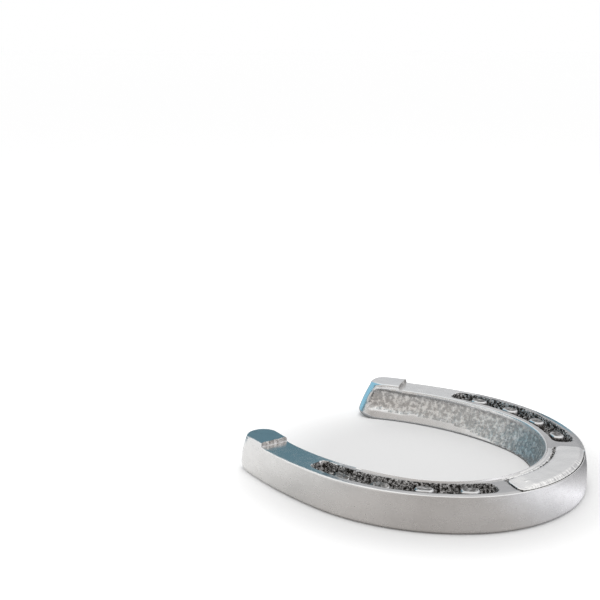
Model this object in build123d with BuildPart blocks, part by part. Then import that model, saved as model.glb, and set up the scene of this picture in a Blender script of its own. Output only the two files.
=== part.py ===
from build123d import *

import os
from math import acos, atan2, cos, degrees, radians, sin

# A horseshoe lying on its foot side. +X points to the toe, +Y to the left branch
# and +Z out of the ground side. The origin is the middle of the rectangle that
# the shoe covers on the surface under it. All sizes are millimetres and degrees.

# Overall sizes, on the foot side.
shoe_length = 126.2  # toe to heel tips
shoe_width = 122.4
shoe_thickness = 14.2

# Outer edge on the foot side: toe arc, quarter arc and heel arc, all tangent.
outer_flatness = 4.8  # the toe radius is this much less than half the width
outer_toe_sweep = 49.7
quarter_end = 95.2  # direction of the joint of the quarter and heel arcs
heel_radius = 177.4

# Inner edge on the ground side: toe arc and branch arc, tangent.
toe_web = 16.0  # width of the web at the toe
branch_web = 14.35  # and from the widest point of one edge to that of the other
inner_flatness = 2.1
inner_toe_sweep = 74.6

# Walls, heel ends and edges.
outer_draft = 1.0  # how far the outer wall leans out towards the foot side
inner_draft = 4.4  # how far the inner wall leans in
heel_rake = 2.8  # how far the heel ends lean out
heel_outer_round = 4.0
heel_inner_round = 6.0
ground_edge_round = 1.2
foot_edge_round = 1.0

# Track of the nail grooves, parallel to the outer edge.
track_lip = 3.0  # web left outside the track on the ground side
track_width = 8.8
groove_depth = 3.4
groove_toe_margin = 9.9  # groove beyond the middle of the first nail
groove_heel_margin = 13.0  # and beyond the last nail

# Nails, counted from the toe.
nails_per_branch = 4
first_nail = 40.5  # along the middle of the track from the toe
nail_pitch = 16.7
head_length = 7.8
head_width = 5.4
head_height = 3.3
head_round = 2.2
shank_length = 4.4  # section of the shank under the head
shank_width = 2.6
shank_taper = 2.0
shank_recess = 0.4  # the cut end stops this far inside the foot side
shank_clearance = 0.15

# Toe plate, seated in a pocket of the web.
plate_lip = 0.8  # web left outside the pocket on the ground side
plate_width = 11.2
plate_half_angle = 29.0
pocket_depth = 3.0
plate_proud = 1.0
plate_round = 3.2
plate_bevel_width = 2.0  # of the bevel along the plate's outer edge
plate_bevel_height = 0.9
plate_clearance = 0.15

# Heel calks, seated on the ground side with their walls flush with the web's.
calk_length = 16.0  # from the heel tip to the step, along X at the outer edge
calk_height = 1.8
calk_round = 0.7

# Spigots under the plate and the calks, in blind holes of the web.
spigot_radius = 1.8
spigot_depth = 4.5
spigot_clearance = 0.1
spigot_end_gap = 0.5
plate_spigot_angle = 15.0
calk_spigot_setbacks = (7.0, 13.0)  # along the track from its heel end

toe_x = shoe_length / 2
heel_x = -shoe_length / 2
half_width = shoe_width / 2
ground = shoe_thickness
track_inset = outer_draft + track_lip + track_width / 2


def polar(centre, radius, angle):
    return (
        centre[0] + radius * cos(radians(angle)),
        centre[1] + radius * sin(radians(angle)),
    )


def angle_at_x(centre, radius, x):
    return degrees(acos((x - centre[0]) / radius))


# Centres and radii of the left edge's arcs. Each arc carries on from the last one.
toe_radius = half_width - outer_flatness
toe_centre = (toe_x - toe_radius, 0)
quarter_radius = toe_radius + outer_flatness / (1 - sin(radians(outer_toe_sweep)))
quarter_centre = polar(toe_centre, toe_radius - quarter_radius, outer_toe_sweep)
heel_centre = polar(quarter_centre, quarter_radius - heel_radius, quarter_end)

inner_radius = half_width - outer_draft - branch_web - inner_flatness
inner_centre = (toe_x - outer_draft - toe_web - inner_radius, 0)
branch_radius = inner_radius + inner_flatness / (1 - sin(radians(inner_toe_sweep)))
branch_centre = polar(inner_centre, inner_radius - branch_radius, inner_toe_sweep)


def outer_arcs(inset, end_x):
    """Left outer edge from the toe to end_x, moved in by inset."""
    end = angle_at_x(heel_centre, heel_radius - inset, end_x)
    quarter_sweep = quarter_end - outer_toe_sweep
    CenterArc(toe_centre, toe_radius - inset, 0, outer_toe_sweep)
    CenterArc(quarter_centre, quarter_radius - inset, outer_toe_sweep, quarter_sweep)
    CenterArc(heel_centre, heel_radius - inset, quarter_end, end - quarter_end)
    return polar(heel_centre, heel_radius - inset, end)


def inner_arcs(inset, end_x):
    """Left inner edge from the toe to end_x, moved in by inset."""
    end = angle_at_x(branch_centre, branch_radius - inset, end_x)
    CenterArc(inner_centre, inner_radius - inset, 0, inner_toe_sweep)
    CenterArc(branch_centre, branch_radius - inset, inner_toe_sweep, end - inner_toe_sweep)
    return polar(branch_centre, branch_radius - inset, end)


def shoe_plan(height):
    """Outline of the web at this height, moved by the slopes of its walls."""
    rise = height / shoe_thickness
    end_x = heel_x + heel_rake * rise
    with BuildSketch(Plane.XY.offset(height)) as plan:
        with BuildLine():
            outer_end = outer_arcs(outer_draft * rise, end_x)
            inner_end = inner_arcs(inner_draft * (1 - rise), end_x)
            Line(outer_end, inner_end)
            mirror(about=Plane.XZ)
        make_face()
        fillet(plan.vertices().group_by(Axis.X)[0].sort_by(Axis.Y)[1:3], heel_inner_round)
        fillet(plan.vertices().group_by(Axis.X)[0].sort_by(Axis.Y)[0:4:3], heel_outer_round)
    return plan.sketch


with BuildLine() as track:
    outer_arcs(track_inset, heel_x)
track_line = track.wires()[0]


def nail_spot(number):
    """Place of a left nail, counted from the toe, with X along the track."""
    distance = first_nail + (number - 1) * nail_pitch
    spot = track_line.position_at(distance, PositionMode.LENGTH)
    way = track_line.tangent_at(distance, PositionMode.LENGTH)
    return Location((spot.X, spot.Y), degrees(atan2(way.Y, way.X)))


def groove_plan():
    """Left groove, with half-round ends."""
    start = first_nail - groove_toe_margin + track_width / 2
    last_nail = first_nail + (nails_per_branch - 1) * nail_pitch
    end = last_nail + groove_heel_margin - track_width / 2
    with BuildSketch(Plane.XY.offset(ground)) as plan:
        with BuildLine():
            add(track_line.trim(start / track_line.length, end / track_line.length))
            offset(amount=track_width / 2)
        make_face()
    return plan.sketch


def plate_plan(gap):
    """Crescent of the toe plate, smaller than its pocket by gap all round."""
    outer = toe_radius - outer_draft - plate_lip - gap
    inner = outer - plate_width + 2 * gap
    half_angle = plate_half_angle - degrees(gap / toe_radius)
    with BuildSketch() as plan:
        with BuildLine():
            CenterArc(toe_centre, outer, -half_angle, 2 * half_angle)
            CenterArc(toe_centre, inner, -half_angle, 2 * half_angle)
            for angle in (-half_angle, half_angle):
                Line(polar(toe_centre, outer, angle), polar(toe_centre, inner, angle))
        make_face()
        fillet(plan.vertices(), plate_round - gap)
    return plan.sketch


def calk_area():
    """Plane area beyond the left calk's step, which runs square across the branch.

    It reaches two webs to each side of the outer edge, short of the other branch.
    """
    edge_radius = heel_radius - outer_draft
    angle = angle_at_x(heel_centre, edge_radius, heel_x + calk_length)
    with BuildSketch(Plane.XY.offset(ground)) as area:
        with Locations(Location(polar(heel_centre, edge_radius, angle), angle)):
            Rectangle(4 * branch_web, shoe_length, align=(Align.CENTER, Align.MIN))
    return area.sketch


groove_floor = ground - groove_depth
nail_spots = [nail_spot(number) for number in range(1, nails_per_branch + 1)]

plate_middle_radius = toe_radius - outer_draft - plate_lip - plate_width / 2
plate_spigots = [
    polar(toe_centre, plate_middle_radius, side * plate_spigot_angle) for side in (-1, 1)
]
calk_spigots = [
    track_line.position_at(track_line.length - setback, PositionMode.LENGTH)
    for setback in calk_spigot_setbacks
]

# Web with blocks in the calks' places, where the rounding of its edges ends.
with BuildPart() as blank:
    loft([shoe_plan(0), shoe_plan(ground + calk_height)], ruled=True)
    with BuildSketch(Plane.XY.offset(ground)):
        Rectangle(2 * shoe_length, 2 * shoe_width)
        add(calk_area(), mode=Mode.SUBTRACT)
        mirror(calk_area(), about=Plane.XZ, mode=Mode.SUBTRACT)
    extrude(amount=calk_height + ground_edge_round, mode=Mode.SUBTRACT)
    web_top = blank.faces().filter_by(Plane.XY).sort_by(Axis.Z)[-3]
    fillet(web_top.edges().filter_by(GeomType.CIRCLE), ground_edge_round)
    fillet(blank.faces().sort_by(Axis.Z)[0].edges(), foot_edge_round)

with BuildPart() as shoe_body:
    add(blank.part)
    split(bisect_by=Plane.XY.offset(ground), keep=Keep.BOTTOM)
    with BuildSketch(Plane.XY.offset(ground)):
        add(groove_plan())
        mirror(about=Plane.XZ)
    extrude(amount=-groove_depth, mode=Mode.SUBTRACT)
    with BuildSketch(Plane.XY.offset(ground)):
        add(plate_plan(0))
    extrude(amount=-pocket_depth, mode=Mode.SUBTRACT)
    with BuildSketch(Plane.XY.offset(ground - pocket_depth)):
        with Locations(*plate_spigots):
            Circle(spigot_radius + spigot_clearance)
    extrude(amount=-spigot_depth - spigot_end_gap, mode=Mode.SUBTRACT)
    with BuildSketch(Plane.XY.offset(ground)):
        with Locations(*calk_spigots):
            Circle(spigot_radius + spigot_clearance)
        mirror(about=Plane.XZ)
    extrude(amount=-spigot_depth - spigot_end_gap, mode=Mode.SUBTRACT)
    with BuildSketch(Plane.XY.offset(groove_floor)):
        with Locations(*nail_spots):
            Rectangle(shank_length + 2 * shank_clearance, shank_width + 2 * shank_clearance)
        mirror(about=Plane.XZ)
    extrude(amount=-groove_floor, taper=shank_taper, mode=Mode.SUBTRACT)

with BuildPart() as toe_plate:
    with BuildSketch(Plane.XY.offset(ground - pocket_depth)):
        add(plate_plan(plate_clearance))
    extrude(amount=pocket_depth + plate_proud)
    plate_top = toe_plate.faces().sort_by(Axis.Z)[-1]
    outer_edge = plate_top.edges().sort_by(Edge.length)[-1]
    chamfer(outer_edge, plate_bevel_width, plate_bevel_height, reference=plate_top)
    with BuildSketch(Plane.XY.offset(ground - pocket_depth)):
        with Locations(*plate_spigots):
            Circle(spigot_radius)
    extrude(amount=-spigot_depth)

with BuildPart() as heel_calk_left:
    with BuildSketch(Plane.XY.offset(ground)):
        add(shoe_plan(ground))
        add(calk_area(), mode=Mode.INTERSECT)
    extrude(amount=calk_height)
    fillet(heel_calk_left.faces().sort_by(Axis.Z)[-1].edges(), calk_round)
    with BuildSketch(Plane.XY.offset(ground)):
        with Locations(*calk_spigots):
            Circle(spigot_radius)
    extrude(amount=-spigot_depth)

with BuildPart() as heel_calk_right:
    mirror(heel_calk_left.part, about=Plane.XZ)

os.makedirs("parts", exist_ok=True)

shoe_body.part.label = "shoe_body"
export_step(shoe_body.part, "parts/shoe_body.step")

toe_plate.part.label = "toe_plate"
export_step(toe_plate.part, "parts/toe_plate.step")

heel_calk_left.part.label = "heel_calk_left"
export_step(heel_calk_left.part, "parts/heel_calk_left.step")

heel_calk_right.part.label = "heel_calk_right"
export_step(heel_calk_right.part, "parts/heel_calk_right.step")

for number, spot in enumerate(nail_spots, 1):
    with BuildPart() as left_nail:
        with BuildSketch(Plane.XY.offset(groove_floor)):
            with Locations(spot):
                SlotOverall(head_length, head_width)
        extrude(amount=head_height)
        fillet(left_nail.faces().sort_by(Axis.Z)[-1].edges(), head_round)
        with BuildSketch(Plane.XY.offset(groove_floor)):
            with Locations(spot):
                Rectangle(shank_length, shank_width)
        extrude(amount=shank_recess - groove_floor, taper=shank_taper)

    with BuildPart() as right_nail:
        mirror(left_nail.part, about=Plane.XZ)

    left_nail.part.label = f"nail_left_{number}"
    export_step(left_nail.part, f"parts/nail_left_{number}.step")
    right_nail.part.label = f"nail_right_{number}"
    export_step(right_nail.part, f"parts/nail_right_{number}.step")
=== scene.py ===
import bpy
import bmesh
import itertools
import math
import numpy as np
from mathutils import Matrix, Vector
from mathutils.geometry import delaunay_2d_cdt


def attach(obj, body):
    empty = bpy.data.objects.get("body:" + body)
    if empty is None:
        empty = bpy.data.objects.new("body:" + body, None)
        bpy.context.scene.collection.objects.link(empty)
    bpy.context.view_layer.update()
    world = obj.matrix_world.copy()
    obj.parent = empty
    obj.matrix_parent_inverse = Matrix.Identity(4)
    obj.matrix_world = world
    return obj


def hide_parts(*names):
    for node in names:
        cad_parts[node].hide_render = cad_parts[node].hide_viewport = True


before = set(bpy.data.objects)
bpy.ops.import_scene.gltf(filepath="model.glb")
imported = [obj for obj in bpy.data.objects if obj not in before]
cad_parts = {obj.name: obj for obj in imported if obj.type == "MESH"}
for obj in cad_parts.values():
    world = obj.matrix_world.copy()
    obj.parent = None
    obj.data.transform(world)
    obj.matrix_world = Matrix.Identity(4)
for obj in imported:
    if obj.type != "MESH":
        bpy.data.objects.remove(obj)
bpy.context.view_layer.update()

# A polished cast horseshoe lying on its foot side. +X points to the toe, +Y to the left
# branch, +Z up. The shapes below are worked out in millimetres.
MM = 0.001

# ---------------------------------------------------------------- numbers

# The ground side's outline is made of arcs, each a centre and a radius. The outer edge has
# three and the inner edge two, and the angles say where one arc ends and the next begins.
TOE = (np.array([6.7, 0.0]), 56.25)
QUARTER = (np.array([-6.381, -15.425]), 76.475)
HEEL = (np.array([2.752, -115.785]), 177.25)
TOE_SWEEP, QUARTER_END, STEP_ANGLE = map(math.radians, (49.7, 95.2, 106.416))
INNER_TOE = (np.array([2.35, 0.0]), 43.75)
INNER_BRANCH = (np.array([-13.181, -56.388]), 102.24)
INNER_SWEEP = math.radians(74.6)
INNER_LEAN = 4.4  # how much further in the inner edge is on the foot side

TOP = 14.2
CALK_TOP = 16.0
PLATE_TOP = 15.2
HEEL_X = -62.85

TRACK = 8.25  # middle of the nail track, in from the outer edge
GROOVE_HALF = 4.4
GROOVE = (35.0, 99.2)  # middles of its round ends, along the track
GROOVE_FLOOR = 10.8
NAILS = [40.5 + 16.7 * i for i in range(4)]
HOLE = (4.36, 2.56)  # a nail hole on the foot side, along and across the track

PLATE = (43.55, 54.45)  # radii of the toe plate's inner and outer edge
PLATE_HALF = math.radians(28.85)
PLATE_MIDDLE, PLATE_WIDE = sum(PLATE) / 2, (PLATE[1] - PLATE[0]) / 2
PLATE_LONG = PLATE_HALF * PLATE_MIDDLE

# Roundings of the walls' edges on the foot side, and of the top edge under a calk.
OUTER_FOOT, INNER_FOOT, END_FOOT = 1.2, 1.0, 3.2
CALK_EDGE = 0.1

# Rows of points up a wall: round its foot, up its face and round its top edge.
FOOT_ROWS, WALL_ROWS, EDGE_ROWS = 5, 20, 6
ROWS = FOOT_ROWS + WALL_ROWS + EDGE_ROWS + 1
STEP = 0.42  # distance between the web's sections, along the outer edge

# What a face of the web shows, as its place in the list of materials. The lip's darker metal is a
# painted dark reflection.
POLISHED, CAST_OR_JOINT_SHADE, HOLLOW, PAINTED_DARK_LIP = range(4)


def smooth(low, high, x):
    t = np.clip((np.asarray(x, float) - low) / (high - low), 0, 1)
    return t * t * (3 - 2 * t)


def noise(points, size, seed=0):
    """Smooth lumps from -1 to 1, this many millimetres apart, at rows of coordinates."""
    q = np.asarray(points, float) / size + 19.17 * (seed + 1)
    base = np.floor(q).astype(np.int64)
    f = q - base
    f = f * f * (3 - 2 * f)
    total = np.zeros(q.shape[:-1])
    for corner in itertools.product((0, 1), repeat=q.shape[-1]):
        c = np.array(corner)
        i = base + c
        h = np.full(q.shape[:-1], 1013 * (seed + 7), np.int64)
        for axis, prime in zip(range(q.shape[-1]), (73856093, 19349663, 83492791)):
            h ^= i[..., axis] * prime
        h = (h ^ (h >> 13)) * 1274126177 & 0xFFFFFFFF
        h = (h ^ (h >> 16)) & 0xFFFF
        total += np.prod(np.where(c == 1, f, 1 - f), axis=-1) * (h / 32767.5 - 1)
    return total


def rough(points, size, seed=0, octaves=3):
    return sum(noise(points, size / 2**k, seed + 31 * k) / 1.8**k for k in range(octaves)) / 1.6


# ---------------------------------------------------------------- outlines

LENGTHS = [TOE[1] * TOE_SWEEP, QUARTER[1] * (QUARTER_END - TOE_SWEEP)]
STEP_AT = sum(LENGTHS) + HEEL[1] * (STEP_ANGLE - QUARTER_END)


def outer_at(s):
    """Point, outward direction and track distance of the outer edge, s from the toe."""
    s = np.atleast_1d(np.asarray(s, float))
    a1, a2 = LENGTHS[0], sum(LENGTHS)
    angle = np.where(
        s <= a1,
        s / TOE[1],
        np.where(
            s <= a2, TOE_SWEEP + (s - a1) / QUARTER[1], QUARTER_END + (s - a2) / HEEL[1]
        ),
    )
    part = np.where(s <= a1, 0, np.where(s <= a2, 1, 2))
    centre = np.array([TOE[0], QUARTER[0], HEEL[0]])[part]
    radius = np.array([TOE[1], QUARTER[1], HEEL[1]])[part]
    way = np.stack([np.cos(angle), np.sin(angle)], -1)
    track = (
        np.minimum(s, a1) * (1 - TRACK / TOE[1])
        + np.clip(s - a1, 0, a2 - a1) * (1 - TRACK / QUARTER[1])
        + np.maximum(s - a2, 0) * (1 - TRACK / HEEL[1])
    )
    return centre + radius[:, None] * way, way, track


def hit(point, way, circle, inset):
    d = point - circle[0]
    along = (d * way).sum(-1)
    gap = along**2 - (d**2).sum(-1) + (circle[1] - inset) ** 2
    return along - np.sqrt(np.maximum(gap, 0))


def web_width(point, way, inset):
    """Distance from the outer edge to the inner edge, straight across the web."""
    toe = hit(point, way, INNER_TOE, inset)
    end = point - way * toe[:, None] - INNER_TOE[0]
    return np.where(
        np.arctan2(end[:, 1], end[:, 0]) <= INNER_SWEEP,
        toe,
        hit(point, way, INNER_BRANCH, inset),
    )


def outer_inset(z):
    return 0.03 + 0.85 * (np.maximum(np.asarray(z) - 5.0, 0) / 8.2) ** 2


def inner_inset(z):
    z = np.asarray(z, float)
    return INNER_LEAN * (1 - z / TOP) - 0.35 * np.sin(math.pi * z / TOP)


def wall_rows(foot, edge):
    """Height and extra inset of each row of a wall, from the foot side to the top."""
    foot, edge = np.atleast_1d(foot)[:, None], np.atleast_1d(edge)[:, None]
    t = np.linspace(0, math.pi / 2, FOOT_ROWS + 1)[None, :-1]
    zs, insets = [foot * (1 - np.cos(t))], [foot * (1 - np.sin(t))]
    t = np.linspace(0, 1, WALL_ROWS + 1)[None, :-1]
    zs.append(foot + (TOP - edge - foot) * t)
    insets.append(0 * zs[-1])
    t = np.linspace(0, math.pi / 2, EDGE_ROWS + 1)[None]
    zs.append(TOP - edge + edge * np.sin(t))
    insets.append(edge * (1 - np.cos(t)))
    return np.concatenate(zs, 1), np.concatenate(insets, 1)


# The unpolished hollow of the inner wall: its start at the heel, its lower and upper edge,
# the middle and half height of its scoop, and how far inside it the rough skin begins.
HOLLOW_X = -56.6
HOLLOW_LOW, HOLLOW_HIGH = 3.1, 13.0
SCOOP_Z, SCOOP_HALF = 8.6, 5.4
HOLLOW_SKIN = 0.25


def recess(x, z, side):
    """Depth of the unpolished hollow in the inner wall, and how far inside it a point is."""
    place = np.stack([x + 80 * side, z], -1)
    start = x - HOLLOW_X + 0.5 * noise(place, 2.6, 5) - 1.7 * ((z - 8.4) / 4.6) ** 2
    low = HOLLOW_LOW + 1.5 * np.exp(-np.clip(x + 57, 0, None) / 6.0)
    low = low + 0.35 * noise(place, 5.0, 6) - 3.2 * smooth(-25.0, 20.0, x)
    high = HOLLOW_HIGH + 0.9 * smooth(-38.0, -52.0, x)
    inside = np.minimum(np.minimum(start * 0.9, z - low), high - z)
    fade = smooth(42.0, 5.0, x)
    depth = (0.16 + 0.40 * smooth(-28.0, -52.0, x)) * smooth(0.0, 1.2, inside) * fade
    scoop = np.clip(1 - ((z - SCOOP_Z) / SCOOP_HALF) ** 2, 0, 1) * smooth(0.0, 0.8, inside)
    depth = depth + (0.35 + 0.85 * smooth(0.0, -45.0, x)) * scoop * fade
    lumps = rough(np.stack([x, z], -1), 2.2, 40 + side, 4)
    return depth + 0.13 * lumps * smooth(0.1, 0.8, inside), inside


# ---------------------------------------------------------------- mesh helpers


def piece(name, vertices, faces, node, materials, picks, sharp):
    """Closed mesh that stands for a CAD node; edges over the sharp angle stay sharp."""
    mesh = bpy.data.meshes.new(name)
    mesh.from_pydata((np.asarray(vertices) * MM).tolist(), [], faces)
    for m in materials:
        mesh.materials.append(m)
    mesh.polygons.foreach_set("material_index", np.asarray(picks, np.int32))
    obj = bpy.data.objects.new(name, mesh)
    bpy.context.scene.collection.objects.link(obj)
    bm = bmesh.new()
    bm.from_mesh(mesh)
    bmesh.ops.remove_doubles(bm, verts=bm.verts, dist=1e-6)
    bmesh.ops.dissolve_degenerate(bm, edges=bm.edges, dist=1e-7)
    bmesh.ops.recalc_face_normals(bm, faces=bm.faces)
    for f in bm.faces:
        f.smooth = True
    for e in bm.edges:
        if len(e.link_faces) == 2 and e.calc_face_angle(0) > math.radians(sharp):
            e.smooth = False
    open_edges = sum(1 for e in bm.edges if len(e.link_faces) != 2)
    if open_edges:
        print("open edges", name, open_edges)
    bm.to_mesh(mesh)
    bm.free()
    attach(obj, "root")
    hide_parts(node)


def grid_faces(rows, columns, first=0, wrap=False):
    """Quads of a grid of points stored row by row."""
    i = np.arange(rows - 1)[:, None] * columns
    if wrap:
        j = np.arange(columns)[None]
        k = (j + 1) % columns
    else:
        j = np.arange(columns - 1)[None]
        k = j + 1
    a, b = first + i + j, first + i + k
    return np.stack([a, b, b + columns, a + columns], -1).reshape(-1, 4)


# ---------------------------------------------------------------- materials


def material(name):
    m = bpy.data.materials.new(name)
    m.use_nodes = True
    tree = m.node_tree
    shader = tree.nodes["Principled BSDF"]
    shader.inputs["Metallic"].default_value = 1.0
    coords = tree.nodes.new("ShaderNodeTexCoord")
    return m, tree, shader, coords.outputs["Object"]


def node(tree, kind, **values):
    """New node with these inputs or settings; an underscore in a name stands for a space."""
    n = tree.nodes.new(kind)
    for key, value in values.items():
        key = key.replace("_", " ")
        if key in n.inputs:
            n.inputs[key].default_value = value
        else:
            setattr(n, key.replace(" ", "_"), value)
    return n


def moved(tree, coords, by):
    """Coordinates moved by this much, so that no two metals share one pattern."""
    mapping = node(tree, "ShaderNodeMapping")
    mapping.inputs["Location"].default_value = by
    tree.links.new(coords, mapping.inputs["Vector"])
    return mapping.outputs["Vector"]


def noise_node(tree, coords, size, detail=3.0, roughness=0.55, stretch=None):
    """Noise whose lumps are this many metres across, longer along the stretch."""
    if stretch:
        mapping = node(tree, "ShaderNodeMapping")
        mapping.inputs["Scale"].default_value = stretch
        tree.links.new(coords, mapping.inputs["Vector"])
        coords = mapping.outputs["Vector"]
    n = node(tree, "ShaderNodeTexNoise", Scale=1.0 / size, Detail=detail, Roughness=roughness)
    tree.links.new(coords, n.inputs["Vector"])
    return n.outputs["Fac"]


def ramp(tree, fac, stops):
    """Colour ramp whose stops are a position and a grey or a colour."""
    n = tree.nodes.new("ShaderNodeValToRGB")
    while len(n.color_ramp.elements) < len(stops):
        n.color_ramp.elements.new(0.5)
    for element, (position, colour) in zip(n.color_ramp.elements, stops):
        element.position = position
        value = (colour,) * 3 if isinstance(colour, (int, float)) else colour
        element.color = (*value, 1)
    tree.links.new(fac, n.inputs["Fac"])
    return n.outputs["Color"]


def bump(tree, shader, layers):
    """Stacked bumps, each a height from 0 to 1 and its depth in metres."""
    last = None
    for height, depth in layers:
        n = node(tree, "ShaderNodeBump", Strength=1.0, Distance=depth)
        tree.links.new(height, n.inputs["Height"])
        if last:
            tree.links.new(last, n.inputs["Normal"])
        last = n.outputs["Normal"]
    tree.links.new(last, shader.inputs["Normal"])


def polished(name, tone, low, high, seed):
    """Hand-buffed cast aluminium: cloudy sheen, buffing lines and a few pin holes."""
    m, tree, shader, coords = material(name)
    coords = moved(tree, coords, [0.013 * seed, 0.007 * seed, 0.011 * seed])
    cloud = noise_node(tree, coords, 0.007, 4.0, 0.6)
    colour = ramp(tree, cloud, [(0.3, tuple(0.94 * c for c in tone)), (0.7, tone)])
    tree.links.new(colour, shader.inputs["Base Color"])
    smear = noise_node(tree, coords, 0.004, 5.0, 0.7, (1.0, 1.0, 2.2))
    tree.links.new(ramp(tree, smear, [(0.3, low), (0.72, high)]), shader.inputs["Roughness"])
    lines = noise_node(tree, coords, 0.0009, 2.0, 0.5, (0.35, 0.35, 3.0))
    swell = noise_node(tree, coords, 0.006, 2.0, 0.5)
    pits = node(tree, "ShaderNodeTexVoronoi", Scale=260.0)
    tree.links.new(coords, pits.inputs["Vector"])
    holes = ramp(tree, pits.outputs["Distance"], [(0.035, 0.0), (0.075, 1.0)])
    bump(tree, shader, [(swell, 0.00016), (lines, 0.000014), (holes, 0.00006)])
    return m


def as_cast(name, dark, light, low, high, grain, depth, seed, spread):
    """Unpolished skin of a sand casting: grain and blotches, its lumps this many metres."""
    m, tree, shader, coords = material(name)
    coords = moved(tree, coords, [0.017 * seed, 0.009 * seed, 0.005 * seed])
    blotch = noise_node(tree, coords, spread * grain, 5.0, 0.65)
    tree.links.new(ramp(tree, blotch, [(0.45, dark), (0.60, light)]), shader.inputs["Base Color"])
    speck = noise_node(tree, coords, grain, 3.0, 0.6)
    tree.links.new(ramp(tree, speck, [(0.3, low), (0.7, high)]), shader.inputs["Roughness"])
    fine = noise_node(tree, coords, 0.45 * grain, 2.0, 0.5)
    bump(tree, shader, [(speck, depth), (fine, 0.35 * depth)])
    return m


web_metal = polished("web_polished", (0.83, 0.825, 0.815), 0.16, 0.34, 1)
plate_metal = polished("plate_polished", (0.85, 0.842, 0.83), 0.14, 0.28, 2)
calk_metal = polished("calk_polished", (0.83, 0.83, 0.825), 0.14, 0.28, 3)
# Lighter polished metal for the ring round each nail head's shoulder: a painted highlight.
nail_rim_bright_metal = polished("nail_rim_painted_highlight", (0.70, 0.70, 0.70), 0.14, 0.28, 4)
# Darker polished metal for the lips beside the grooves: its tone is a painted dark reflection.
lip_painted_dark_metal = polished("lip_polished_painted_dark", (0.52, 0.515, 0.515), 0.16, 0.30, 8)
# Dark sand-cast skin of the grooves, pitted strip and nail holes; on the seam round the toe plate
# and on the plate's side it is painted shade.
cast_and_joint_shade_metal = as_cast(
    "groove_cast_and_joint_shade", (0.03, 0.027, 0.024), (0.74, 0.73, 0.72), 0.18, 0.38, 0.0007, 0.0006, 5, 1.5
)
# Rough cast skin of the nail heads' crowns; its darkness is a painted dark reflection.
nail_crown_dark_metal = as_cast(
    "nail_crown_cast_painted_dark", (0.12, 0.115, 0.11), (0.52, 0.51, 0.50), 0.22, 0.40, 0.0010, 0.00020, 7, 1.6
)
# Rough skin of the unpolished hollow; the warm tint of its blotches is a painted warm reflection.
hollow_warm_tint_metal = as_cast(
    "hollow_cast_painted_warm", (0.50, 0.485, 0.47), (0.92, 0.90, 0.87), 0.22, 0.42, 0.0009, 0.00024, 6, 2.0
)

# ---------------------------------------------------------------- body

SEAT_CORNER = 3.0
SEAM = 0.18  # middle of the seam outside the toe plate's edge, coloured dark as painted shade in the joint
SEAM_HALF = 0.34


def groove_distance(track, u):
    """Distance outside the groove's edge, negative inside it."""
    over = track - np.clip(track, *GROOVE)
    return (np.abs(over) ** 2.8 + np.abs(u - TRACK) ** 2.8) ** (1 / 2.8) - GROOVE_HALF


def plate_distance(x, y):
    """Distance outside the toe plate's edge, negative inside it."""
    r = np.hypot(x - TOE[0][0], y)
    along = np.abs(np.arctan2(y, x - TOE[0][0])) * PLATE_MIDDLE
    dx = along - PLATE_LONG + SEAT_CORNER
    dy = np.abs(r - PLATE_MIDDLE) - PLATE_WIDE + SEAT_CORNER
    outside = np.hypot(np.maximum(dx, 0), np.maximum(dy, 0))
    return outside + np.minimum(np.maximum(dx, dy), 0) - SEAT_CORNER


# Distances in from the outer edge at which the web's top has points.
COLUMNS = np.concatenate(
    [
        np.linspace(1.45, 3.5, 9)[:-1],
        np.linspace(3.5, 4.5, 6)[:-1],
        np.linspace(4.5, 12.0, 27)[:-1],
        np.linspace(12.0, 13.0, 6),
    ]
)
INNER_SPARE = 0.22  # room that the columns leave before the inner edge
INNER_COLUMNS = 8


def outer_wall(s, side):
    """Insets and heights of the outer wall's points at each section."""
    to_step = STEP_AT - s
    edge = CALK_EDGE + smooth(0.0, 3.0, to_step) * (0.75 - 0.5 * smooth(86.0, 62.0, s))
    z, extra = wall_rows(np.full(len(s), OUTER_FOOT), edge)
    inset = outer_inset(np.minimum(z, TOP - edge[:, None])) + extra
    place = np.stack([s[:, None] + 0 * z, z], -1)
    return inset + 0.035 * (1 + noise(place, 9.0, 3 + side)) * smooth(0, 2, to_step)[:, None], z


def inner_wall(s, side):
    """Distances in and heights of the inner wall's points, and how far inside the hollow."""
    point, way, _ = outer_at(s)
    edge = CALK_EDGE + smooth(0.0, 3.0, STEP_AT - s) * 0.45
    z, extra = wall_rows(np.full(len(s), INNER_FOOT), edge)
    z, extra = z[:, ::-1], extra[:, ::-1]
    near = web_width(point, way, 0.0)[:, None]
    far = web_width(point, way, INNER_LEAN)[:, None]
    lean = inner_inset(np.minimum(z, TOP - edge[:, None])) / INNER_LEAN
    inner = near + (far - near) * lean - extra
    sunk, within = recess(point[:, :1] - way[:, :1] * inner, z, side)
    return inner - sunk, z, within


def across_top(outer, inner):
    """Distances in of the top's points at each section, from the outer to the inner edge."""
    end = inner[:, :1]
    squeeze = (end - INNER_SPARE - COLUMNS[0]) / (COLUMNS[-1] - COLUMNS[0])
    u = COLUMNS[0] + (COLUMNS - COLUMNS[0])[None] * np.minimum(1, squeeze)
    u = np.maximum(u, outer[:, -1:] + 0.02 * np.arange(1, len(COLUMNS) + 1))
    gap = np.linspace(0, 1, INNER_COLUMNS)[None, 1:-1]
    return np.concatenate([u, u[:, -1:] + (end - u[:, -1:]) * gap], 1)


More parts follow.
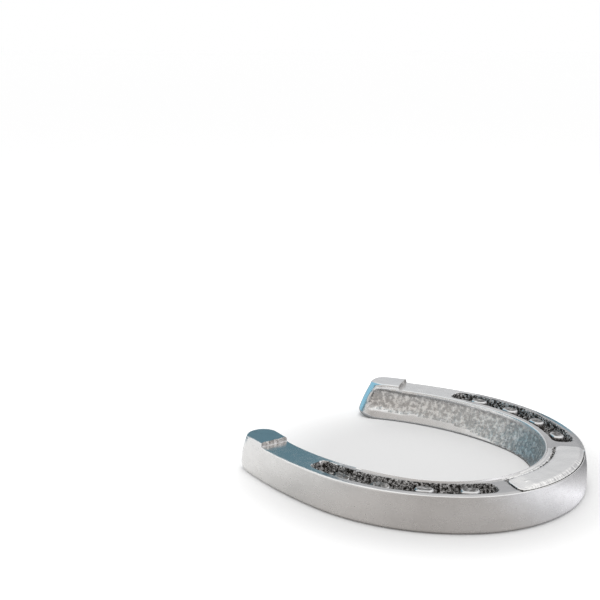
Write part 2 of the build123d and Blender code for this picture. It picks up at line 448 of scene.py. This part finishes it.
def groove_depth(flat, groove, side):
    """How deep the sand-cast groove is at places along the track and across the web."""
    ragged = 0.10 * rough(flat, 1.6, 50 + side)
    outer_side = smooth(TRACK + 1, TRACK - 1, flat[..., 1])
    run = 0.75 + (0.75 if side > 0 else 0.1) * outer_side
    fall = (TOP - GROOVE_FLOOR) * smooth(0.10, 1.0, (-groove + ragged + 0.12) / run)
    sand = smooth(0.1, 0.9, -groove) * 0.34 * rough(flat, 1.2, 60 + side, 3)
    if side > 0:
        sand = sand * (1 - 0.55 * outer_side * smooth(2.2, 0.2, -groove))
    return fall - sand


def seat_depth(flat, plate, strip, side):
    """How deep the top is under the plate, in the seam round it and in its pitted strip."""
    under = 0.9 * smooth(-0.2, -0.9, plate)
    seam = 0.75 * np.exp(-(((plate - SEAM) / 0.32) ** 2))
    return under + seam + strip * (0.30 + 0.30 * rough(flat, 0.9, 80 + side, 3))


def body_half(side, reach):
    """Sections of one side from the toe, as (station, point, xyz), and what each shows."""
    s = np.linspace(0, STEP_AT, reach)
    point, way, track = outer_at(s)
    outer, z = outer_wall(s, side)
    inner, zi, within = inner_wall(s, side)

    u = across_top(outer, inner)
    t = track[:, None] + 0 * u
    flat = np.stack([t, u], -1)
    xy = point[:, None] - way[:, None] * u[..., None]
    groove = groove_distance(t, u)
    plate = plate_distance(xy[..., 0], xy[..., 1])
    strip = smooth(1.7, 1.1, plate) * smooth(0, 0.3, plate) * smooth(11.6, 12.6, u)
    waves = 0.02 * noise(flat, 7.0, 70 + side) * smooth(0, 2, STEP_AT - s)[:, None]
    lip_out = 0.32 * smooth(3.4, 1.6, u) * smooth(82.0, 66.0, s)[:, None]
    lip_in = 0.55 * smooth(12.2, 14.6, u) * smooth(96.0, 80.0, t) * smooth(1.6, 2.6, plate)
    depth = groove_depth(flat, groove, side) + seat_depth(flat, plate, strip, side)
    top = np.minimum(TOP + waves - depth - lip_out - lip_in, TOP)

    every_u = np.concatenate([outer, u, inner], 1)
    every_z = np.concatenate([z, top, zi], 1)
    xy = point[:, None] - way[:, None] * every_u[..., None]
    xyz = np.concatenate([xy, every_z[..., None]], -1)

    # Lips beside the grooves and near their toe ends get the darker lip metal, a painted dark
    # reflection.
    beside = (t > 31.0) & (t < 95.0) & ((u < 4.2) | (u > 12.4))
    ends = (t > 24.0) & (t < 33.5) & (plate > 0.3)
    shown = np.where(beside | ends, PAINTED_DARK_LIP, POLISHED)
    # The seam band round the toe plate gets the dark cast metal: painted shade in the joint.
    shown[(groove < 0.05) | (np.abs(plate - SEAM) < SEAM_HALF) | (strip > 0.3)] = CAST_OR_JOINT_SHADE
    hollow = np.where(within > HOLLOW_SKIN, HOLLOW, POLISHED)
    return xyz, np.concatenate([np.full(z.shape, POLISHED), shown, hollow], 1)


HEEL_CORNERS = (4.6, 6.2)  # radii of the heel's outer and inner corner
# Points along the outer edge, round a corner, along the end, round a corner and back inside.
LOOP_COUNTS = (32, 11, 9, 13, 28)
LOOP_POINTS, BRANCH = sum(LOOP_COUNTS), sum(LOOP_COUNTS[:3])
# Direction of the calk's step across the web, and at right angles to it towards the heel.
STEP_WAY = np.array([math.cos(STEP_ANGLE), math.sin(STEP_ANGLE)])
STEP_ALONG = np.array([-STEP_WAY[1], STEP_WAY[0]])


def ways(angles):
    return np.stack([np.cos(angles), np.sin(angles)], -1)


def bearing(point, centre):
    return math.atan2(point[1] - centre[1], point[0] - centre[0])


def corner_centre(x, centre, distance):
    """Point at this x that is this far from a centre, on the left side."""
    return np.array([x, centre[1] + math.sqrt(distance**2 - (x - centre[0]) ** 2)])


def heel_loop(outer_extra, inner_extra, end, z_side, z_end):
    """Left heel's edge at one row: along the outer edge, round the end and back inside."""
    outer, inner = HEEL[0], INNER_BRANCH[0]
    ra, rb = HEEL[1] - outer_extra, INNER_BRANCH[1] - inner_extra
    r1, r2 = HEEL_CORNERS
    c1 = corner_centre(end + r1, outer, ra - r1)
    c2 = corner_centre(end + r2, inner, rb + r2)
    stop, low = bearing(c1, outer), bearing(inner, c2) + 2 * math.pi
    parts = [outer + ra * ways(np.linspace(STEP_ANGLE, stop, LOOP_COUNTS[0]))]
    parts.append(c1 + r1 * ways(np.linspace(stop, math.pi, LOOP_COUNTS[1] + 1)[1:]))
    t = np.linspace(0, 1, LOOP_COUNTS[2] + 1)[1:, None]
    parts.append(np.array([end, c1[1]]) * (1 - t) + np.array([end, c2[1]]) * t)
    parts.append(c2 + r2 * ways(np.linspace(math.pi, low, LOOP_COUNTS[3] + 1)[1:]))
    step = HEEL[0] + HEEL[1] * STEP_WAY[None]
    width = hit(step, STEP_WAY[None], INNER_BRANCH, inner_extra)
    last = (step - STEP_WAY * width[:, None])[0]
    back = np.linspace(bearing(c2, inner), bearing(last, inner), LOOP_COUNTS[4] + 1)[1:]
    parts.append(inner + rb * ways(back))
    xy = np.concatenate(parts)
    n = np.cumsum(LOOP_COUNTS)
    round_end = [n[0] - 9, n[1] - 4, n[2] + 4, n[3] + 6]
    mix = smooth(0, 1, np.interp(np.arange(len(xy)), round_end, [0, 1, 1, 0]))
    z = z_side * (1 - mix) + z_end * mix
    return np.concatenate([xy, z[:, None]], -1)


def end_x(z):
    """Place of the heel's end wall, which leans towards the toe above its foot."""
    return HEEL_X + 2.5 * (np.clip(np.asarray(z, float) - 3.0, 0, None) / (TOP - 3.0)) ** 1.7


def heel_rows(side):
    """Rows of the left heel's wall from foot to top, and what each point shows."""
    z, extra = wall_rows(OUTER_FOOT, CALK_EDGE)
    zi, inner = wall_rows(INNER_FOOT, CALK_EDGE)
    ze, back = wall_rows(END_FOOT, CALK_EDGE)
    rows = []
    for k in range(ROWS):
        a = outer_inset(min(z[0, k], TOP - CALK_EDGE)) + extra[0, k]
        b = inner_inset(min(zi[0, k], TOP - CALK_EDGE)) - inner[0, k]
        sides = np.linspace(z[0, k], zi[0, k], LOOP_POINTS)
        rows.append(heel_loop(a, b, end_x(ze[0, k]) + back[0, k], sides, ze[0, k]))
    rows = np.array(rows)
    branch = rows[:, BRANCH:]
    sunk, within = recess(branch[..., 0], branch[..., 2], side)
    away = branch[..., :2] - INNER_BRANCH[0]
    away = away / np.linalg.norm(away, axis=-1, keepdims=True)
    rows[:, BRANCH:, :2] += away * sunk[..., None]
    kind = np.full(rows.shape[:2], POLISHED)
    kind[:, BRANCH:] = np.where(within > HOLLOW_SKIN, HOLLOW, POLISHED)
    return rows, kind


def nail_frame(number, side):
    """Place of a nail and the directions along and across the track there."""
    point, way, track = outer_at(np.linspace(0, STEP_AT, 4000))
    i = int(np.argmin(np.abs(track - NAILS[number])))
    spot = point[i] - way[i] * TRACK
    along = np.array([-way[i][1], way[i][0]])
    flip = np.array([1, side])
    return spot * flip, along * flip, way[i] * flip


def rectangle(centre, along, across, length, width, n=5):
    t = np.linspace(-1, 1, n)[:-1]
    corners = [(t, -1 + 0 * t), (1 + 0 * t, t), (-t, 1 + 0 * t), (-1 + 0 * t, -t)]
    pts = np.concatenate([np.stack(c, -1) for c in corners])
    return centre + pts[:, :1] * along * length / 2 + pts[:, 1:] * across * width / 2


def join_halves(left, right):
    """One row of sections; towards the toe the two sides pass into their mean."""
    blend = smooth(4.0, 0.0, np.linspace(0, STEP_AT, len(left)))[:, None]
    middle = (left[0] + right[0]) / 2 * (1, 0, 1)
    left[:, :, 2] += blend * (middle[:, 2] - left[0, :, 2])
    right[:, :, 2] += blend * (middle[:, 2] - right[0, :, 2])
    left[0, :, 0] = right[0, :, 0] = middle[:, 0]
    return np.concatenate([right[:0:-1], left])


def foot_side(outline, holes, first):
    """Points and faces of the flat foot side, and the outline of each nail hole in it."""
    rings = [outline] + [rectangle(*hole, *HOLE) for hole in holes]
    flat, edges = [], []
    for ring in rings:
        start = len(flat)
        flat += [Vector(p) for p in ring]
        edges += [(start + i, start + (i + 1) % len(ring)) for i in range(len(ring))]
    made = delaunay_2d_cdt(flat, edges, [], 1, 1e-6)
    points = np.array([(*p, 0.0) for p in made[0]])
    faces = []
    for f in made[2]:
        c = points[list(f), :2].mean(0)
        in_hole = any(
            abs(np.dot(c - o, a)) < HOLE[0] / 2 and abs(np.dot(c - o, b)) < HOLE[1] / 2
            for o, a, b in holes
        )
        if not in_hole:
            faces.append([first + i for i in f])
    return points, faces, rings[1:]


# Heights in a nail hole and its size there; the last one is its roof.
HOLE_LEVELS = [(0.0, 1.0), (3.0, 1.04), (6.0, 1.08), (GROOVE_FLOOR - 0.5, 1.13)]


def hole_walls(ring, centre, first):
    n = len(ring)
    grid = [np.c_[centre + (ring - centre) * k, np.full(n, z)] for z, k in HOLE_LEVELS]
    faces = grid_faces(len(HOLE_LEVELS), n, first=first, wrap=True).tolist()
    faces.append([first + (len(HOLE_LEVELS) - 1) * n + i for i in range(n)])
    return np.concatenate(grid), faces


def most_of(kinds):
    return [max(set(q), key=q.count) for q in kinds.tolist()]


def make_body():
    reach = int(STEP_AT / STEP)
    left, left_kind = body_half(1, reach)
    right, right_kind = body_half(-1, reach)
    sections = join_halves(left, right * (1, -1, 1))
    kinds = np.concatenate([right_kind[:0:-1], left_kind])
    rows, columns = sections.shape[:2]
    vertices = [sections.reshape(-1, 3)]
    faces = grid_faces(rows, columns).tolist()
    picks = most_of(kinds.reshape(-1)[np.array(faces)])
    count = rows * columns
    loops = []
    for side, row in ((1, rows - 1), (-1, 0)):
        heel, heel_kind = heel_rows(side)
        loop = heel * (1, side, 1)
        loop[:, 0] = sections[row, :ROWS]
        loop[:, -1] = sections[row, ::-1][:ROWS]
        vertices.append(loop.reshape(-1, 3))
        more = grid_faces(*loop.shape[:2], first=count)
        faces += more.tolist()
        picks += most_of(heel_kind.reshape(-1)[more - count])
        # The flat under the calk, between the last section and the heel's top edge.
        seat = [row * columns + c for c in range(ROWS - 1, columns - ROWS + 1)]
        last = count + (ROWS - 1) * loop.shape[1]
        seat += [last + i for i in range(loop.shape[1] - 2, 0, -1)]
        faces.append(seat)
        picks.append(POLISHED)
        loops.append(loop[0])
        count += loop.shape[0] * loop.shape[1]

    outline = np.concatenate(
        [sections[:, 0], loops[0][1:-1], sections[::-1, -1], loops[1][::-1][1:-1]]
    )
    holes = [nail_frame(number, side) for number, side in itertools.product(range(4), (1, -1))]
    points, bottom, rings = foot_side(outline[:, :2], holes, count)
    vertices.append(points)
    faces += bottom
    picks += [POLISHED] * len(bottom)
    count += len(points)
    for ring, (centre, _, _) in zip(rings, holes):
        points, more = hole_walls(ring, centre, count)
        vertices.append(points)
        faces += more
        picks += [CAST_OR_JOINT_SHADE] * len(more)
        count += len(points)
    piece(
        "shoe_body_cast", np.concatenate(vertices), faces, "shoe_body",
        [web_metal, cast_and_joint_shade_metal, hollow_warm_tint_metal, lip_painted_dark_metal], picks, 50,
    )


make_body()

# ---------------------------------------------------------------- toe plate

PLATE_CORNER = 3.05
PLATE_COUNTS = (150, 10, 14)  # points along a long side, round a corner and along an end
# Inset and height of the plate's wall, and insets of the rings on its face.
PLATE_WALL = [(0.25, 11.3), (0.0, 11.6), (0.0, 13.6), (0.0, 14.0)]
PLATE_INSETS = [0.0, 0.06, 0.14, 0.26, 0.42, 0.62, 0.85, 1.1, 1.4, 1.7, 2.0, 2.3, 2.7, 3.2]
PLATE_INSETS += [3.8, 4.5, 5.2]


def plate_ring(d):
    """The plate's outline this far in from its edge, as places along and across it."""
    n_side, n_corner, n_end = PLATE_COUNTS
    hx, hy = PLATE_LONG - d, PLATE_WIDE - d
    corner = min(max(PLATE_CORNER - d, 0.05), hy - 1e-3)
    spots = [(hx, hy), (-hx, hy), (-hx, -hy), (hx, -hy)]
    centres = [(x - math.copysign(corner, x), y - math.copysign(corner, y)) for x, y in spots]
    pts = []
    for k, centre in enumerate(centres):
        a = np.linspace(0, math.pi / 2, n_corner + 1) + k * math.pi / 2
        pts.append(centre + corner * ways(a))
        start, after = pts[-1][-1], centres[(k + 1) % 4]
        long_side = k % 2 == 0
        stop = np.array([after[0], start[1]] if long_side else [start[0], after[1]])
        t = np.linspace(0, 1, (n_side if long_side else n_end) + 1)[1:-1, None]
        pts.append(start * (1 - t) + stop * t)
    return np.concatenate(pts)


def plate_waves(p):
    return 0.02 * (1 + noise(p, 6.0, 93))


def plate_top(p, d):
    """Height of the plate's face at places this far in from its edge."""
    along = p[:, 0]
    from_outer, from_inner = PLATE_WIDE - p[:, 1], PLATE_WIDE + p[:, 1]
    low_end = smooth(-PLATE_LONG + 8.0, -PLATE_LONG + 0.5, along)
    rim = 1 - min(d / 0.7, 1)
    drop = (0.55 - 0.35 * low_end) * (1 - math.sqrt(1 - rim**2)) + 0.7 * low_end
    wave = 0.35 * rough(np.c_[along, 0 * along], 2.6, 90, 3)
    chipped = smooth(-26.0, -20.0, along) * smooth(14.0, 8.0, along)
    width = 1.5 + 0.4 * smooth(-10, 10, along) + wave * chipped
    bevel = smooth(width, 0.0, from_outer) * (0.62 + 0.30 * chipped)
    ticks = np.abs(rough(np.c_[along, 0.3 * p[:, 1]], 0.9, 91, 3))
    on_bevel = smooth(2.1, 1.5, from_outer) * smooth(-0.1, 0.3, from_outer) * chipped
    pitted = smooth(1.3, 0.3, from_inner) * 0.16 * (0.7 + rough(p, 0.9, 92, 3))
    return PLATE_TOP - np.maximum(drop, bevel) - 0.34 * ticks * on_bevel - pitted - plate_waves(p)


def make_plate():
    grid = []
    for d, z in PLATE_WALL:
        p = plate_ring(d)
        grid.append(np.c_[p, np.full(len(p), z)])
    for d in PLATE_INSETS:
        p = plate_ring(d)
        grid.append(np.c_[p, plate_top(p, d)])
    p = plate_ring(PLATE_WIDE - 0.01) * (1, 0)
    grid.append(np.c_[p, PLATE_TOP - plate_waves(p)])
    grid = np.array(grid)
    r = PLATE_MIDDLE + grid[..., 1]
    turn = ways(grid[..., 0] / PLATE_MIDDLE)
    xyz = np.concatenate([r[..., None] * turn, grid[..., 2:]], -1) + (TOE[0][0], 0, 0)
    rows, n = xyz.shape[:2]
    faces = grid_faces(rows, n, wrap=True).tolist()
    # The plate's side wall gets the dark cast metal: painted shade in the joint round the plate.
    picks = np.repeat(np.arange(rows - 1) < len(PLATE_WALL), n).astype(int).tolist()
    faces.append(list(range(n)))
    picks.append(1)
    piece(
        "toe_plate_cast", xyz.reshape(-1, 3), faces, "toe_plate",
        [plate_metal, cast_and_joint_shade_metal], picks, 50,
    )


make_plate()

# ---------------------------------------------------------------- heel calks

CALK_FACE = CALK_TOP - 0.03
CALK_FOOT = TOP - 0.25  # a calk reaches a little into the web that it stands on
CALK_ROUND, CALK_END_ROUND = 0.85, 1.75
CALK_LEVELS = 9
CALK_LEAN = 0.3  # how far its step leans
STEP_POINTS = 44
ACROSS = np.linspace(0, 1, STEP_POINTS + 2)[1:-1]  # places across the step


def calk_ring(outer_extra, inner_extra, end, z_side, z_end, step, z_step, rag):
    """Outline of a calk at one level; its last points run across the ragged step."""
    loop = heel_loop(outer_extra, inner_extra, end, z_side, z_end)
    past = (loop[:, :2] - loop[0, :2]) @ STEP_ALONG
    pull = np.clip(step - past, 0, None) * smooth(9.0, 1.0, past)
    loop[:, :2] += pull[:, None] * STEP_ALONG
    line = loop[-1] * (1 - ACROSS[:, None]) + loop[0] * ACROSS[:, None]
    tick, wander = rag
    fade = smooth(0, 0.08, ACROSS) * smooth(1, 0.92, ACROSS)
    rising = smooth(TOP, TOP + 0.5, z_step) * smooth(CALK_FACE + 0.1, CALK_FACE - 0.4, z_step)
    line[:, 2] = z_step + 0.10 * tick * fade * rising
    push = (0.5 * tick + 0.2 * wander) * fade * smooth(TOP - 0.2, TOP + 0.6, z_step)
    line[:, :2] += push[:, None] * STEP_ALONG
    return np.concatenate([loop, line])


def make_calk(side):
    name = "left" if side > 0 else "right"
    tick = rough(np.c_[13 * ACROSS, 0 * ACROSS], 0.5, 100 + side, 2)
    wander = rough(np.c_[13 * ACROSS, 3 + 0 * ACROSS], 3.5, 110 + side, 2)
    rag = (tick, wander)
    low_a = outer_inset(TOP - CALK_EDGE)
    low_b = inner_inset(TOP - CALK_EDGE)
    low_e = float(end_x(TOP - CALK_EDGE))
    grid = [calk_ring(low_a, low_b, low_e, z, z, 0.0, z, rag) for z in (CALK_FOOT, TOP)]
    straight = CALK_FACE - CALK_ROUND
    for k in range(CALK_LEVELS):
        angle = math.pi / 2 * k / (CALK_LEVELS - 1)
        inset, rise = 1 - math.cos(angle), math.sin(angle)
        lift = (k + 1) / CALK_LEVELS
        a = float(outer_inset(straight)) + CALK_ROUND * inset
        b = low_b - 0.04 - CALK_ROUND * inset
        e = low_e + 0.05 + CALK_END_ROUND * inset
        z_side = straight + CALK_ROUND * rise
        z_end = CALK_FACE - CALK_END_ROUND * (1 - rise)
        z_step = TOP + (CALK_FACE - TOP) * float(smooth(0.0, 1.0, lift) * 0.5 + lift * 0.5)
        grid.append(calk_ring(a, b, e, z_side, z_end, CALK_LEAN * lift, z_step, rag))
    last = grid[-1]
    centre = last[:, :2].mean(0)
    at = np.clip((last[:, :2] - centre) @ STEP_ALONG, -3.0, 3.0)
    core = np.c_[centre + at[:, None] * STEP_ALONG, np.full(len(last), CALK_FACE)]
    grid += [last * (1 - t) + core * t for t in (0.1, 0.25, 0.45, 0.7, 1.0)]
    grid = np.array(grid) * (1, side, 1)
    wave = 0.025 * noise(grid[..., :2], 5.0, 120 + side)
    wave = wave * smooth(TOP + 0.5, CALK_FACE, grid[..., 2])
    grid[..., 2] = np.minimum(grid[..., 2] + wave, CALK_TOP - 0.005)
    rows, n = grid.shape[:2]
    faces = grid_faces(rows, n, wrap=True).tolist()
    faces.append(list(range(n)))
    column = np.arange(n)
    ledge = (column >= n - STEP_POINTS - 1) | (column == 0)
    step_rows = range(2, 2 + CALK_LEVELS)
    picks = [int(ledge[i % n] and i // n in step_rows) for i in range(len(faces))]
    piece(
        f"heel_calk_{name}_cast", grid.reshape(-1, 3), faces, f"heel_calk_{name}",
        [calk_metal, hollow_warm_tint_metal], picks, 60,
    )


for side in (1, -1):
    make_calk(side)

# ---------------------------------------------------------------- nails

NAIL_RADIUS, NAIL_STRAIGHT = 2.7, 1.2
# Size of the head's outline, and its height over the groove's floor.
HEAD = [(1.0, -0.3), (1.0, 0.0), (1.0, 0.8), (1.0, 1.5), (0.99, 1.95), (0.965, 2.3)]
HEAD += [(0.925, 2.6), (0.87, 2.84), (0.8, 3.0), (0.72, 3.09), (0.62, 3.12), (0.5, 3.1)]
HEAD += [(0.36, 3.06), (0.22, 3.03), (0.1, 3.02), (0.0, 3.02)]
HEAD_POINTS, HEAD_LIMIT = 64, 3.25
# Height in the hole and size of the shank there, as a share of the hole.
SHANK = [(0.4, 0.86), (0.55, 0.93), (3.0, 0.95), (6.0, 0.97), (GROOVE_FLOOR - 0.1, 1.0)]
# The right branch's heads, counted from the toe: how worn and how much lower each is.
WORN, LOWER = (0.12, 0.16, 0.6, 0.8), (0.0, 0.0, 0.5, 0.8)
# Rows of a head round its rim that get the lighter polished metal, a painted bright ring, while
# the darker crown is a painted dark reflection: of a whole one and of a worn one.
WHOLE_RIM, WORN_RIM = range(6, 9), range(3, 7)


def make_nail(number, side):
    centre, along, across = nail_frame(number, side)
    name = "left" if side > 0 else "right"
    seed = 200 + 10 * number + (5 if side < 0 else 0)
    worn, lower = (WORN[number], LOWER[number]) if side < 0 else (WORN[0], LOWER[0])
    a = np.linspace(0, 2 * math.pi, HEAD_POINTS, endpoint=False)
    oval = NAIL_RADIUS * ways(a)
    oval[:, 0] += NAIL_STRAIGHT * np.tanh(4 * np.cos(a))
    rings = []
    for r, h in HEAD:
        p = np.c_[r * oval, np.full(HEAD_POINTS, h)]
        use = smooth(0.4, 2.4, h)
        dent = use * worn * (rough(p, 1.9, seed, 3) - 0.4) * (0.3 + 0.7 * r)
        spread = 1 - 0.05 * worn * noise(p, 2.0, seed + 1)
        rings.append(np.c_[p[:, :2] * spread[:, None], GROOVE_FLOOR + h - lower * use + dent])
    grid = np.array(rings)
    grid[-1, :] = grid[-1].mean(0)
    grid[..., 2] = np.minimum(grid[..., 2], GROOVE_FLOOR + HEAD_LIMIT)
    xy = centre + grid[..., :1] * along + grid[..., 1:2] * across
    vertices = [np.concatenate([xy, grid[..., 2:]], -1).reshape(-1, 3)]
    faces = grid_faces(len(HEAD), HEAD_POINTS, wrap=True).tolist()
    faces.append(list(range(HEAD_POINTS)))
    # The shoulder rows get the lighter metal as a painted bright ring, and the crown the dark
    # metal as a painted dark reflection.
    rim = WORN_RIM if lower else WHOLE_RIM
    picks = [0 if i // HEAD_POINTS in rim else 1 for i in range(len(faces))]

    ring = rectangle(centre, along, across, *HOLE, 7)
    m, first = len(ring), len(vertices[0])
    vertices += [np.c_[centre + (ring - centre) * k, np.full(m, z)] for z, k in SHANK]
    faces += grid_faces(len(SHANK), m, first=first, wrap=True).tolist()
    faces.append([first + i for i in range(m)])
    faces.append([first + (len(SHANK) - 1) * m + i for i in range(m)])
    picks += [1] * (len(faces) - len(picks))
    piece(
        f"nail_{name}_{number + 1}_cast", np.concatenate(vertices), faces,
        f"nail_{name}_{number + 1}", [nail_rim_bright_metal, nail_crown_dark_metal], picks, 50,
    )


for side, number in itertools.product((1, -1), range(4)):
    make_nail(number, side)

# ---------------------------------------------------------------- floor, light and camera

FLOOR_HALF = 30.0


def card(name, corners, m):
    mesh = bpy.data.meshes.new(name)
    mesh.from_pydata(corners, [], [tuple(range(len(corners)))])
    mesh.materials.append(m)
    obj = bpy.data.objects.new(name, mesh)
    bpy.context.scene.collection.objects.link(obj)
    return obj


# Direction in degrees from +X, and the tone that the polished walls mirror from there.
TONES = [
    (-180, (1.10, 1.10, 1.11)),
    (-158, (1.16, 1.16, 1.165)),
    (-140, (0.98, 0.975, 0.97)),
    (-118, (0.68, 0.67, 0.66)),
    (-92, (0.64, 0.615, 0.60)),
    (-62, (0.51, 0.485, 0.47)),
    (-28, (0.56, 0.54, 0.53)),
    (-8, (0.76, 0.76, 0.785)),
    (12, (1.24, 1.24, 1.30)),
    (24, (0.78, 0.775, 0.80)),
    (44, (0.44, 0.44, 0.455)),
    (75, (0.50, 0.50, 0.52)),
    (120, (0.62, 0.63, 0.65)),
    (158, (0.66, 0.67, 0.69)),
    (180, (1.10, 1.10, 1.11)),
]
FAR_SIDE = (40, 170)  # directions behind the shoe, where the floor mirrors darker
FAR_SHARE = 0.62


def reflected(tree, direction, far=1.0):
    """Brightness that the metal sees towards each compass direction of the studio."""
    parts = tree.nodes.new("ShaderNodeSeparateXYZ")
    tree.links.new(direction, parts.inputs[0])
    compass = node(tree, "ShaderNodeMath", operation="ARCTAN2")
    tree.links.new(parts.outputs["Y"], compass.inputs[0])
    tree.links.new(parts.outputs["X"], compass.inputs[1])
    turn = node(tree, "ShaderNodeMapRange")
    turn.inputs["From Min"].default_value = -math.pi
    turn.inputs["From Max"].default_value = math.pi
    tree.links.new(compass.outputs["Value"], turn.inputs["Value"])
    stops = []
    for angle, colour in TONES:
        share = far if FAR_SIDE[0] < angle < FAR_SIDE[1] else 1.0
        stops.append(((angle + 180) / 360, tuple(share * c for c in colour)))
    return ramp(tree, turn.outputs["Result"], stops)


def for_glossy_rays(tree, others, glossy, output):
    """Sends one shader to glossy rays and the other to all the rest."""
    path = tree.nodes.new("ShaderNodeLightPath")
    mixed = tree.nodes.new("ShaderNodeMixShader")
    tree.links.new(path.outputs["Is Glossy Ray"], mixed.inputs["Fac"])
    tree.links.new(others.outputs[0], mixed.inputs[1])
    tree.links.new(glossy.outputs[0], mixed.inputs[2])
    tree.links.new(mixed.outputs[0], tree.nodes[output].inputs["Surface"])


def make_floor():
    """White floor with a painted glow that brightens it away from the shoe; reflections see the
    backdrop's tones.
    """
    m = bpy.data.materials.new("floor_white")
    m.use_nodes = True
    tree = m.node_tree
    shader = tree.nodes["Principled BSDF"]
    shader.inputs["Roughness"].default_value = 0.9
    shader.inputs["Specular IOR Level"].default_value = 0.2
    shader.inputs["Base Color"].default_value = (0.86, 0.86, 0.86, 1)
    coords = tree.nodes.new("ShaderNodeTexCoord")
    length = node(tree, "ShaderNodeVectorMath", operation="LENGTH")
    tree.links.new(coords.outputs["Object"], length.inputs[0])
    # Painted glow: emission that grows with distance from the shoe, so the floor near it stays
    # greyer.
    spread = node(tree, "ShaderNodeMapRange", interpolation_type="SMOOTHSTEP")
    spread.inputs["From Min"].default_value = 0.045
    spread.inputs["From Max"].default_value = 0.115
    spread.inputs["To Max"].default_value = 0.5
    tree.links.new(length.outputs["Value"], spread.inputs["Value"])
    shader.inputs["Emission Color"].default_value = (1, 1, 1, 1)
    tree.links.new(spread.outputs["Result"], shader.inputs["Emission Strength"])
    seen = tree.nodes.new("ShaderNodeBsdfDiffuse")
    flat_way = node(tree, "ShaderNodeVectorMath", operation="NORMALIZE")
    tree.links.new(coords.outputs["Object"], flat_way.inputs[0])
    tones = reflected(tree, flat_way.outputs["Vector"], FAR_SHARE)
    tree.links.new(tones, seen.inputs["Color"])
    for_glossy_rays(tree, shader, seen, "Material Output")
    corners = [(-1, -1), (1, -1), (1, 1), (-1, 1)]
    card("floor", [(FLOOR_HALF * x, FLOOR_HALF * y, 0) for x, y in corners], m)


def make_world():
    """Plain white for the camera; reflections see the tones below a bright ceiling."""
    world = bpy.data.worlds.new("studio")
    bpy.context.scene.world = world
    world.use_nodes = True
    tree = world.node_tree
    background = tree.nodes["Background"]
    coords = tree.nodes.new("ShaderNodeTexCoord")
    tilt = node(tree, "ShaderNodeVectorMath", operation="DOT_PRODUCT")
    tree.links.new(coords.outputs["Generated"], tilt.inputs[0])
    tilt.inputs[1].default_value = (0.0, 0.25, 1.0)
    upper = ramp(tree, tilt.outputs["Value"], [(0.50, 0.0), (0.95, 1.0)])
    tint = node(tree, "ShaderNodeMix", data_type="RGBA", blend_type="MIX")
    tree.links.new(reflected(tree, coords.outputs["Generated"]), tint.inputs[6])
    tint.inputs[7].default_value = (1.15, 1.15, 1.15, 1)
    tree.links.new(upper, tint.inputs["Factor"])
    tree.links.new(tint.outputs[2], background.inputs["Color"])
    plain = tree.nodes.new("ShaderNodeBackground")
    plain.inputs["Color"].default_value = (1, 1, 1, 1)
    path = tree.nodes.new("ShaderNodeLightPath")
    pick = node(tree, "ShaderNodeMapRange")
    tree.links.new(path.outputs["Is Camera Ray"], pick.inputs["Value"])
    pick.inputs["To Min"].default_value = 0.55
    pick.inputs["To Max"].default_value = 1.0
    tree.links.new(pick.outputs["Result"], plain.inputs["Strength"])
    for_glossy_rays(tree, plain, background, "World Output")


def area(name, place, width, height, watts):
    """Soft box that points at the shoe and that the metal doesn't mirror."""
    light = bpy.data.lights.new(name, "AREA")
    light.shape = "RECTANGLE"
    light.size, light.size_y, light.energy = width, height, watts
    obj = bpy.data.objects.new(name, light)
    obj.location = place
    obj.rotation_euler = (-Vector(place)).to_track_quat("-Z", "Y").to_euler()
    obj.visible_glossy = False
    bpy.context.scene.collection.objects.link(obj)


CARTON_HEIGHT = 0.139


def carton(name, a, b, colour):
    """One side of the carton that stood by the shoe; only the metal's reflections show it."""
    m = bpy.data.materials.new(name)
    m.use_nodes = True
    tree = m.node_tree
    tree.nodes.clear()
    glow = tree.nodes.new("ShaderNodeEmission")
    glow.inputs["Color"].default_value = (*colour, 1)
    out = tree.nodes.new("ShaderNodeOutputMaterial")
    tree.links.new(glow.outputs[0], out.inputs["Surface"])
    corners = [(*a, 0.0), (*b, 0.0), (*b, CARTON_HEIGHT), (*a, CARTON_HEIGHT)]
    panel = card(name, corners, m)
    panel.visible_camera = panel.visible_diffuse = panel.visible_shadow = False


def make_camera():
    """The photograph's camera, recovered from the straight edges that it shows."""
    eye = Vector((0.2116, -0.3503, 0.1716))
    look = Vector((-0.6119, 0.7618, -0.2128)).normalized()
    right = Vector((0.7797, 0.6262, 0)).normalized()
    up = right.cross(look)
    data = bpy.data.cameras.new("camera")
    data.lens, data.sensor_width = 62.5, 36.0
    data.shift_y = -0.0452
    camera = bpy.data.objects.new("camera", data)
    camera.matrix_world = Matrix(
        [(right[i], up[i], -look[i], eye[i]) for i in range(3)] + [(0, 0, 0, 1)]
    )
    bpy.context.scene.collection.objects.link(camera)
    bpy.context.scene.camera = camera


make_floor()
make_world()
area("softbox_top", (0.02, -0.02, 0.75), 0.34, 0.34, 1.9)
area("softbox_back", (-0.35, 0.55, 0.55), 0.6, 0.5, 0.8)
carton("card_front", (-0.1618, -0.0775), (-0.0702, 0.0280), (0.13, 0.235, 0.29))
carton("card_side", (-0.0702, 0.0280), (-0.1306, 0.0805), (0.31, 0.63, 0.82))
make_camera()
bpy.context.scene.view_settings.view_transform = "Standard"
